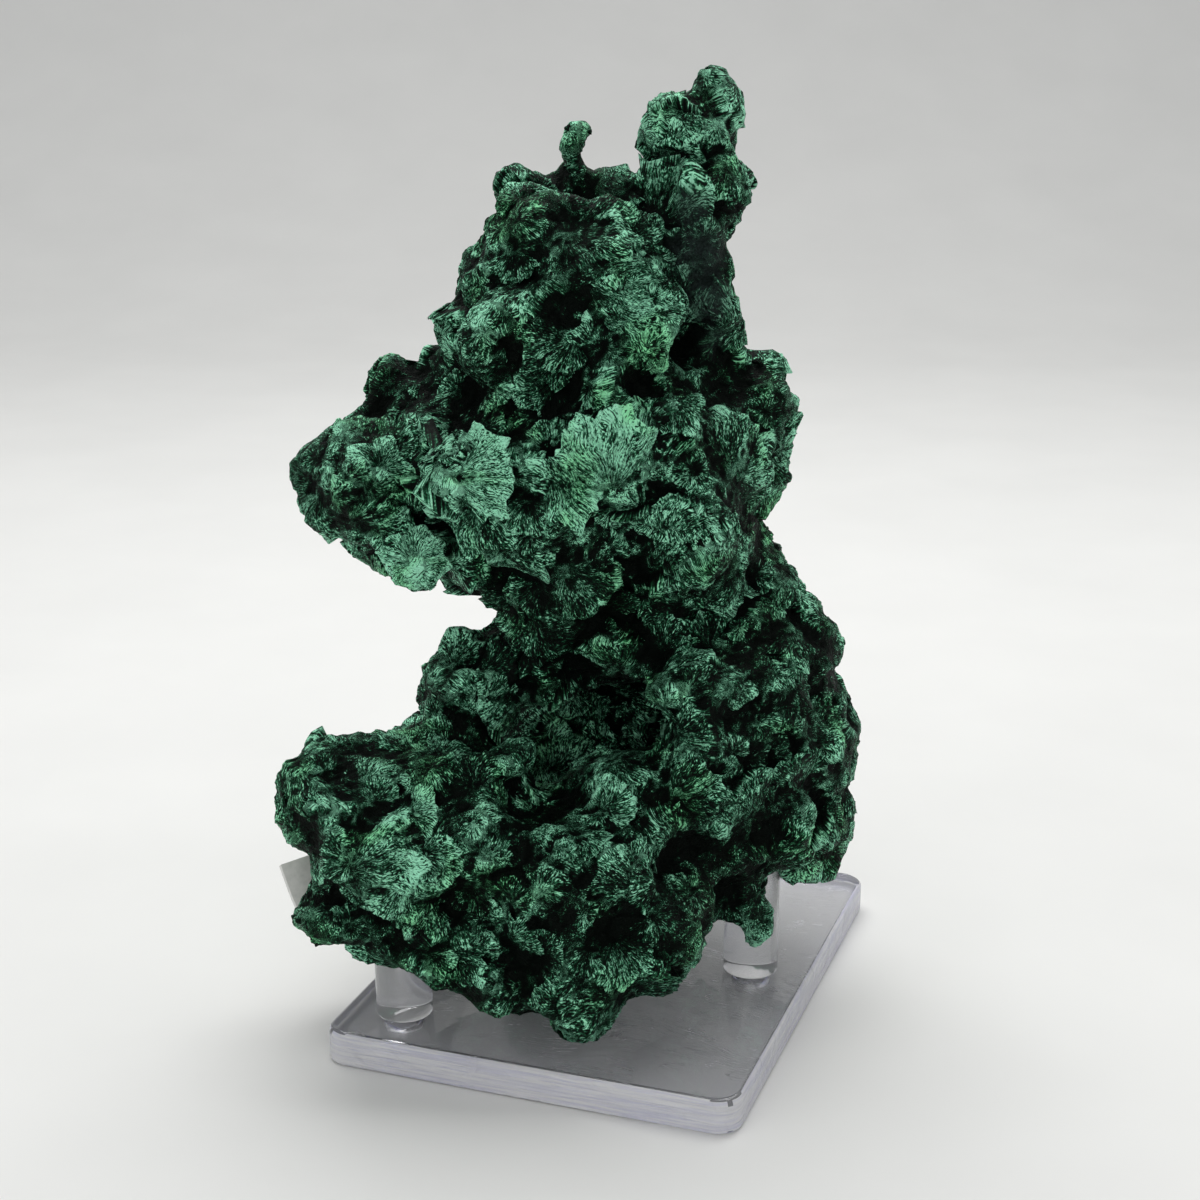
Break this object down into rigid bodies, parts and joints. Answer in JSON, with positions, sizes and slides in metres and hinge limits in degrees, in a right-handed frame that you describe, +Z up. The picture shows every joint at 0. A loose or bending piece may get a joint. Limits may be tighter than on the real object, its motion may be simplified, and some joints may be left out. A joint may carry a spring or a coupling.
{
  "type": "malachite specimen",
  "caption": "Tall fibrous malachite specimen with overhanging lobes, resting on round pegs on a clear acrylic display plate with a side arm.",
  "frame": {"origin": "centre of the underside of the acrylic plate", "axes": "+Z up through the stone's spire, +X along the plate's short side to the right, +Y along its long side away from the viewer"},
  "size_m": [0.1574, 0.1647, 0.2687],
  "materials": {
    "malachite": "matte",
    "clear_acrylic": "gloss",
    "frosted_acrylic": "satin"
  },
  "bodies": {
    "root": {"malachite": "malachite", "stand_plate": "clear_acrylic", "post_front_left": "clear_acrylic", "post_right": "clear_acrylic", "post_back_left": "clear_acrylic", "side_arm": "frosted_acrylic"}
  },
  "joints": []
}
